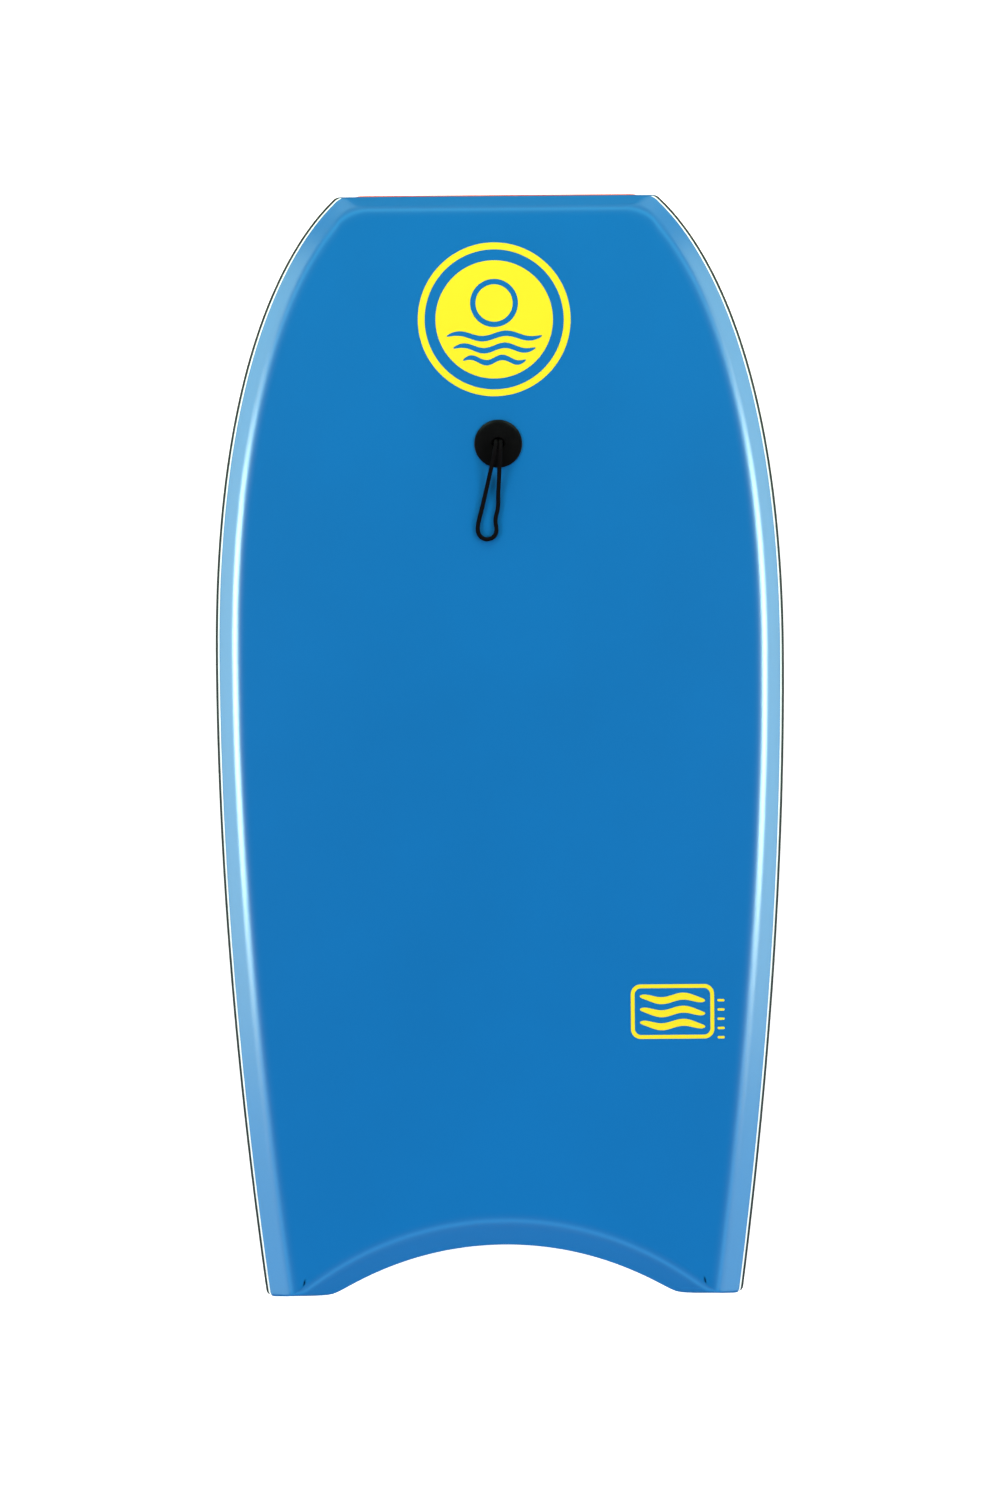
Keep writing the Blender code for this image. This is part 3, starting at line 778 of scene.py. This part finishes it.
def plug_top_profile():
    """The domed flange with a rolled rim and lip, its barrel with thread ridges, and the bore."""
    lip = arc_profile((BORE_RADIUS + LIP_RADIUS, LIP_HEIGHT), LIP_RADIUS, 180, 90, 7)
    dome_start = lip[-1][0]
    dome_end = FLANGE_RADIUS - FLANGE_RIM_RADIUS
    dome = []
    for share in np.linspace(0.08, 0.94, 14):
        radius = dome_start + (dome_end - dome_start) * share
        dome.append((radius, DOME_FOOT + DOME_RISE * math.sqrt(1 - (share * 0.98) ** 2.5)))
    rim = arc_profile((dome_end, 1.05 * MM), FLANGE_RIM_RADIUS, 60, -70, 9)
    under = [(FLANGE_RADIUS - 1.2 * MM, 0.1 * MM), (THREAD_RADIUS, 0.1 * MM)]
    thread = []
    for turn in range(THREAD_TURNS):
        top = THREAD_TOP - turn * THREAD_PITCH
        thread += [(BARREL_RADIUS, top), (THREAD_RADIUS, top - 0.6 * MM)]
        thread += [(THREAD_RADIUS, top - 1.0 * MM), (BARREL_RADIUS, top - 1.6 * MM)]
    end = [(BARREL_RADIUS, BARREL_FOOT), (BORE_RADIUS, BARREL_FOOT)]
    return lip + dome + rim + under + thread + end


def plug_base_profile():
    """The sleeve that takes the barrel, and the flange under the board."""
    inside = [(0.01, -45), (9.3, -45), (9.3, -6.4), (9.7, -6)]
    outside = [(11.2, -6), (11.6, -6.4), (11.6, -49.6)]
    rim = arc_profile((17.2, -50.4), 0.8, 90, -60, 8)
    underneath = [(14, -51.5), (6, -51.6), (5.2, -50.6), (0.01, -50.6)]
    return [(radius * MM, height * MM) for radius, height in inside + outside + rim + underneath]


def build_plug(material):
    """The flange, barrel and base, all of black moulded plastic."""
    top = turned("plug_flange", plug_top_profile(), True)
    finish_piece(top, material, "plug_plastic", "board", "leash_plug_top")
    bottom = turned("plug_base", plug_base_profile(), False)
    finish_piece(bottom, material, "plug_plastic", "board", "leash_plug_base")
    return [top, bottom]


# ---------------------------------------------------------------- cord

# The cord's route in the plug's frame, in millimetres: right, towards the nose, out of the deck
CORD_ROUTE = (
    (-2.1, 2.0, 3.0), (-2.1, 1.0, 7.1), (-2.3, -1.7, 10.5), (-3.0, -6.4, 12.3), (-4.5, -14.0, 11.5),
    (-6.7, -23.0, 8.8), (-9.5, -35.0, 5.4), (-12.6, -48.0, 3.5), (-15.6, -60.0, 3.0),
    (-18.4, -71.0, 3.1), (-18.9, -81.4, 3.2), (-17.2, -84.6, 3.2), (-10.7, -87.6, 3.2),
    (-4.2, -84.6, 3.2), (-2.5, -81.4, 3.2), (-3.0, -71.0, 3.1), (-1.0, -60.0, 3.0),
    (-0.4, -48.0, 3.5), (0.3, -35.0, 5.4), (0.9, -23.0, 8.8), (1.5, -14.0, 11.5),
    (1.9, -6.4, 12.3), (2.1, -1.7, 10.5), (2.1, 1.0, 7.1), (2.1, 2.0, 3.0),
)


def natural_spline(points):
    """Closely spaced points on the cubic spline that runs through the given ones."""
    gaps = np.linalg.norm(np.diff(points, axis=0), axis=1)
    slopes = np.diff(points, axis=0) / gaps[:, None]
    system = np.eye(len(points))
    turning = np.zeros_like(points)
    for i in range(1, len(points) - 1):
        system[i, i - 1:i + 2] = gaps[i - 1], 2 * (gaps[i - 1] + gaps[i]), gaps[i]
        turning[i] = 6 * (slopes[i] - slopes[i - 1])
    bend = np.linalg.solve(system, turning)
    fine = []
    for i, gap in enumerate(gaps):
        for t in np.arange(0, 1, 0.05):
            s = 1 - t
            sag = (s ** 3 - s) * bend[i] + (t ** 3 - t) * bend[i + 1]
            fine.append(s * points[i] + t * points[i + 1] + gap ** 2 / 6 * sag)
    return np.array([*fine, points[-1]])


def smooth_route(points, step):
    """Evenly spaced points on a smooth curve through the given ones."""
    fine = natural_spline(np.array(points))
    travelled = np.concatenate([[0], np.cumsum(np.linalg.norm(np.diff(fine, axis=0), axis=1))])
    stops = np.linspace(0, travelled[-1], round(travelled[-1] / step) + 1)
    return np.column_stack([np.interp(stops, travelled, fine[:, axis]) for axis in range(3)])


def placed(points, matrix):
    """Points carried by a matrix."""
    return points @ np.array(matrix.to_3x3()).T + np.array(matrix.translation)


def cross_directions(path):
    """A pair of cross directions at each point of the path, which don't twist along it."""
    tangents = np.gradient(path, axis=0)
    tangents /= np.linalg.norm(tangents, axis=1)[:, None]
    normal = np.cross(tangents[0], (0.0, 1.0, 0.02))
    pairs = []
    for tangent in tangents:
        normal = normal - tangent * np.dot(normal, tangent)
        normal /= np.linalg.norm(normal)
        pairs.append((normal, np.cross(tangent, normal)))
    return pairs


def braid_height(angle, travelled):
    """Height of a braid of two crossing families of yarns, each going over and under."""
    round_share = angle / (2 * math.pi)
    one = BRAID_STRANDS * (round_share + travelled / BRAID_PITCH)
    two = BRAID_STRANDS * (round_share - travelled / BRAID_PITCH)
    one_on_top = (np.floor(one) + np.floor(two)) % 2 == 0
    across = np.where(one_on_top, one % 1, two % 1)
    along = np.where(one_on_top, two % 1, one % 1)
    return np.sin(math.pi * across) ** 0.7 * (0.55 + 0.45 * np.sin(math.pi * along))


def cord_tube(name, path, matrix):
    """A braided tube along the path, its yarns raised in the mesh."""
    step = np.linalg.norm(np.diff(path, axis=0), axis=1).mean()
    angles = np.linspace(0, 2 * math.pi, CORD_ROUND, endpoint=False)
    rows = []
    for k, (point, (normal, side)) in enumerate(zip(path, cross_directions(path))):
        radius = CORD_DIAMETER / 2 - BRAID_DEPTH * (1 - braid_height(angles, k * step))
        outward = np.outer(np.cos(angles), normal) + np.outer(np.sin(angles), side)
        rows.append(point + radius[:, None] * outward)
    faces = loft_faces(range(len(rows)), CORD_ROUND, True) + end_faces(len(rows), CORD_ROUND)
    return mesh_object(name, placed(np.vstack(rows), matrix), faces, 60)


def build_cord(material):
    """The free loop, which rises out of the bore, bends over and lies on the deck, and the knot inside the
    plug.
    """
    route = smooth_route(np.array(CORD_ROUTE) * MM, 0.3 * MM)
    loop = cord_tube("cord_loop", route, PLUG)
    loop.data.materials.append(material)
    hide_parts("leash_loop")
    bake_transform(loop)
    knot = build_knot(material)
    return [loop, knot]


def build_knot(material):
    """An overhand knot under the barrel, and the two strands from it up the bore."""
    t = np.linspace(0, 2 * math.pi, 160)
    across = np.sin(t) + 2 * np.sin(2 * t)
    ahead = np.cos(t) - 2 * np.cos(2 * t)
    turns = np.column_stack([across, ahead, -1.3 * np.sin(3 * t)]) * KNOT_SIZE
    turns[:, 2] += KNOT_HEIGHT
    pieces = [cord_tube("knot_turns", turns, PLUG)]
    for side in (-1, 1):
        low = np.array([side * STRAND_ASIDE, STRAND_AHEAD, STRAND_FOOT])
        high = np.array([side * STRAND_ASIDE, STRAND_AHEAD, EXIT_HEIGHT])
        pieces.append(cord_tube("strand", np.linspace(low, high, 110), PLUG))
    mesh = bmesh.new()
    for piece in pieces:
        mesh.from_mesh(piece.data)
        bpy.data.objects.remove(piece, do_unlink=True)
    knot = object_from("cord_knot", mesh)
    knot.data.shade_smooth()
    return finish_piece(knot, material, "cord", "cord_root", "leash_knot")


# ---------------------------------------------------------------- prints


def flat_film(name, outlines):
    """A flat film filled between outlines in metres."""
    shape = bpy.data.curves.new(name, "CURVE")
    shape.dimensions = "2D"
    shape.fill_mode = "BOTH"
    shape.extrude = INK_THICKNESS / 2
    for outline in outlines:
        spline = shape.splines.new("POLY")
        spline.points.add(len(outline) - 1)
        for point, (x, y) in zip(spline.points, outline):
            point.co = (x, y, 0, 1)
        spline.use_cyclic_u = True
    piece = linked_object(name, shape)
    graph = bpy.context.evaluated_depsgraph_get()
    data = bpy.data.meshes.new_from_object(piece.evaluated_get(graph))
    bpy.data.objects.remove(piece, do_unlink=True)
    return data


def print_film(name, outlines, material):
    """A thin ink film on the deck, cut across in steps and bent with the deck."""
    data = flat_film(name, outlines)
    mesh = bmesh.new()
    mesh.from_mesh(data)
    bmesh.ops.remove_doubles(mesh, verts=mesh.verts, dist=0.005 * MM)
    low = min(v.co.y for v in mesh.verts)
    high = max(v.co.y for v in mesh.verts)
    for y in np.arange(low + INK_STEP / 2, high, INK_STEP):
        bmesh.ops.bisect_plane(mesh, geom=[*mesh.verts, *mesh.edges, *mesh.faces],
                               plane_co=(0, y, 0), plane_no=(0, 1, 0))
    for vertex in mesh.verts:
        deck = rise(vertex.co.y) + THICKNESS * foil(vertex.co.y)
        vertex.co.z += float(deck) + INK_LIFT + INK_THICKNESS / 2
    mesh.to_mesh(data)
    mesh.free()
    data.name = name
    finish_piece(linked_object(name, data), material, "deck_foam", "board")


def circle(centre, radius, count=128):
    """An outline round a centre."""
    angles = np.linspace(0, 2 * math.pi, count, endpoint=False)
    return [(centre[0] + radius * math.cos(a), centre[1] + radius * math.sin(a)) for a in angles]


def wave_band(centre, reach, half_height, swing, waves):
    """A closed wavy band round a centre, tapered to points at its two ends."""
    along = np.linspace(-1, 1, 90)
    x = centre[0] + reach * along
    middle = centre[1] + swing * np.sin(math.pi * waves * along)
    half = half_height * np.sqrt(np.maximum(0, 1 - along ** 4))
    top = list(zip(x, middle + half))
    bottom = list(zip(x, middle - half))
    return top + bottom[-2:0:-1]


def build_badge(ink):
    """A round badge near the nose: a ring about a disc with a sun and waves left open in it."""
    x, y = BADGE_CENTRE
    print_film("badge_ring", [circle(BADGE_CENTRE, radius) for radius in BADGE_RING_RADII], ink)
    cuts = [circle((x, y + SUN_AHEAD), radius) for radius in SUN_RADII]
    for level, reach in BADGE_WAVES:
        cuts.append(wave_band((x, y + level), reach, **BADGE_WAVE))
    print_film("badge_disc", [circle(BADGE_CENTRE, BADGE_DISC_RADIUS), *cuts], ink)


def rounded_box(centre, width, height, radius, count=10):
    """A rectangle outline with round corners."""
    points = []
    for sx, sy, start in ((1, 1, 0), (-1, 1, 90), (-1, -1, 180), (1, -1, 270)):
        cx = centre[0] + sx * (width / 2 - radius)
        cy = centre[1] + sy * (height / 2 - radius)
        for a in np.radians(np.linspace(start, start + 90, count)):
            points.append((cx + radius * math.cos(a), cy + radius * math.sin(a)))
    return points


def build_tag(ink):
    """A box of plain wave stripes by the right rail, with a column of small dashes beside it."""
    x, y = TAG_CENTRE
    width, height = TAG_SIZE
    outside = rounded_box(TAG_CENTRE, width, height, TAG_CORNER)
    inside = rounded_box(TAG_CENTRE, width - 2 * TAG_LINE, height - 2 * TAG_LINE, TAG_INNER_CORNER)
    print_film("tag_frame", [outside, inside], ink)
    for k, level in enumerate(TAG_WAVES):
        band = wave_band((x, y + level), TAG_WAVE_REACH, **TAG_WAVE)
        print_film(f"tag_wave_{k + 1}", [band], ink)
    for k in range(DASH_COUNT):
        place = (DASH_PLACE[0], DASH_PLACE[1] + k * DASH_PITCH)
        dash = rounded_box(place, *DASH_SIZE, DASH_CORNER, 5)
        print_film(f"tag_dash_{k + 1}", [dash], ink)


# ---------------------------------------------------------------- stage

FLOOR_REACH = 14.0
ROOM_LEVEL = 0.75
CAMERA_LENS = 85
CAMERA_PLACE = (-0.00055, -0.0057, 3.304)
CAMERA_TURN = math.radians(-0.448)

# Tints of the lights
SIDE_TINT = (0.77, 1.04, 0.72)
END_TINT = (0.62, 1.0, 0.92)
CORNER_TINT = (0.60, 1.0, 0.92)
STRIP_TINT = (0.88, 1.08, 0.85)
NOSE_TINT = (0.8, 1.0, 0.62)


def build_floor():
    """A plain pale floor."""
    data = bpy.data.meshes.new("floor")
    corners = [(x * FLOOR_REACH, y * FLOOR_REACH, 0) for x, y in ((-1, -1), (1, -1), (1, 1), (-1, 1))]
    data.from_pydata(corners, [], [(0, 1, 2, 3)])
    floor = linked_object("floor", data)
    nodes = Nodes("floor_pale", 0.9, (0.9, 0.9, 0.9))
    nodes.set(Specular_IOR_Level=0.0, Emission_Color=(1, 1, 1, 1), Emission_Strength=0.5)
    data.materials.append(nodes.material)
    floor.visible_glossy = False


def add_panel(name, place, aim, size, radiance, tint=(1, 1, 1), diffuse=True, glossy=True):
    """A soft rectangular light that faces a point. size is across and along the board."""
    light = bpy.data.lights.new(name, "AREA")
    light.shape = "RECTANGLE"
    light.size, light.size_y = size
    light.energy = radiance * math.pi * size[0] * size[1]
    light.color = tint
    lamp = linked_object(name, light)
    outward = (Vector(place) - Vector(aim)).normalized()
    along = Vector((0, 1, 0))
    across = along.cross(outward).normalized()
    along = outward.cross(across)
    turn = Matrix((across, along, outward)).transposed().to_4x4()
    lamp.matrix_world = Matrix.Translation(place) @ turn
    lamp.visible_camera = False
    lamp.visible_diffuse = diffuse
    lamp.visible_glossy = glossy
    return lamp


def lit_alone(piece):
    """A collection that limits a lamp to one piece."""
    receivers = bpy.data.collections.new("lit_" + piece.name)
    receivers.objects.link(piece)
    return receivers


def kept_unlit(pieces):
    """A collection that keeps a lamp off some pieces."""
    shaded = bpy.data.collections.new("kept_unlit")
    for piece in pieces:
        shaded.objects.link(piece)
    for member in shaded.collection_objects:
        member.light_linking.link_state = "EXCLUDE"
    return shaded


def build_lights(crest, blacks):
    """Soft keys on both sides, dim fills at both ends, and lights that only gloss shows.

    The strips that draw the crest's highlight light only the crest's own piece, and the side
    and tail glows keep off the black pieces.
    """
    only_crest = lit_alone(crest)
    not_blacks = kept_unlit(blacks)
    for side, word in ((-1, "left"), (1, "right")):
        add_panel("key_" + word, (side * 1.7, 0.05, 1.7), (0, 0.05, 0), (0.9, 1.6), 5.7, glossy=False)
        side_glow = add_panel("side_glow_" + word, (side * 1.9, 0.5, 0.40), (0, 0.5, 0.05),
                              (1.7, 2.2), 6.0, SIDE_TINT, diffuse=False)
        tail_glow = add_panel("tail_glow_" + word, (side * 1.9, -1.1, 0.40), (0, -1.1, 0.05),
                              (1.7, 1.0), 3.6, END_TINT, diffuse=False)
        for lamp in (side_glow, tail_glow):
            lamp.light_linking.receiver_collection = not_blacks
        add_panel("corner_glow_" + word, (side * 1.15, 2.1, 0.4), (0, 0.4, 0.05),
                  (1.7, 1.2), 2.6, CORNER_TINT, diffuse=False)
        crest_strip = add_panel("crest_strip_" + word, (side * 1.76, 0.12, 1.11), (0, 0.12, 0.05),
                                (0.8, 0.9), 33, STRIP_TINT, diffuse=False)
        crest_strip.light_linking.receiver_collection = only_crest
    add_panel("nose_fill", (0, 1.0, 0.56), (0, 0.5, 0.06), (1.2, 0.6), 2.6, NOSE_TINT, glossy=False)
    add_panel("tail_fill", (0, -1.2, 0.75), (0, -0.48, 0.04), (1.2, 0.6), 2.0, glossy=False)


def build_room():
    """An even pale surround whose ceiling, straight above the deck, is dark."""
    world = bpy.data.worlds.new("studio")
    world.use_nodes = True
    tree = world.node_tree
    coordinates = tree.nodes.new("ShaderNodeTexCoord")
    split = tree.nodes.new("ShaderNodeSeparateXYZ")
    band = tree.nodes.new("ShaderNodeMapRange")
    band.interpolation_type = "SMOOTHSTEP"
    for key, value in (("From Min", 0.68), ("From Max", 0.90), ("To Min", ROOM_LEVEL), ("To Max", 0.0)):
        band.inputs[key].default_value = value
    tree.links.new(coordinates.outputs["Generated"], split.inputs["Vector"])
    tree.links.new(split.outputs["Z"], band.inputs["Value"])
    background = tree.nodes["Background"]
    background.inputs["Color"].default_value = (0.97, 0.98, 1.0, 1)
    tree.links.new(band.outputs["Result"], background.inputs["Strength"])
    world.cycles_visibility.glossy = False
    bpy.context.scene.world = world


def build_camera():
    """Straight above the deck, turned by under half a degree."""
    data = bpy.data.cameras.new("camera")
    data.lens = CAMERA_LENS
    data.sensor_width = 36
    data.sensor_fit = "AUTO"
    camera = linked_object("camera", data)
    camera.location = CAMERA_PLACE
    camera.rotation_euler = (0, 0, CAMERA_TURN)
    bpy.context.scene.camera = camera
    bpy.context.scene.view_settings.view_transform = "Standard"


# ---------------------------------------------------------------- assembly


def main():
    """Build every visible piece, then the stage."""
    build_camera()
    cord_pieces = build_cord(cord_material(CORD_BLACK))

    # The deck's foam has a painted highlight along its crest
    deck = foam_material("deck_foam_blue", BLUE, 0.28, 0.6, painted_highlight=PAINTED_HIGHLIGHT_BLUE)
    # The bumpers' darker blue is painted shade
    bumper = foam_material("bumper_foam_shaded_blue", SHADED_BUMPER_BLUE, 0.5, 1.4)
    white = foam_material("rail_foam_white", WHITE, 0.5, 1.2)
    dark = foam_material("rail_foam_dark", DARK, 0.6, 1.2, 0.2)
    deck_skin = build_deck_skin(deck)
    build_edges(dark, white, bumper)
    build_slick(slick_material(CORAL))
    plug_pieces = build_plug(plastic_material("plug_plastic_black", BLACK, 0.38))

    # The hidden layers keep their CAD shapes
    dress(frame["nodes"]["eps_core"], bead_material(BEAD_WHITE))
    dress(frame["nodes"]["bottom_foam"], foam_material("underlay_foam", UNDERLAY_GREY, 0.6, 1.5))

    ink = ink_material(YELLOW)
    build_badge(ink)
    build_tag(ink)

    build_floor()
    build_lights(deck_skin, plug_pieces + cord_pieces)
    build_room()


main()
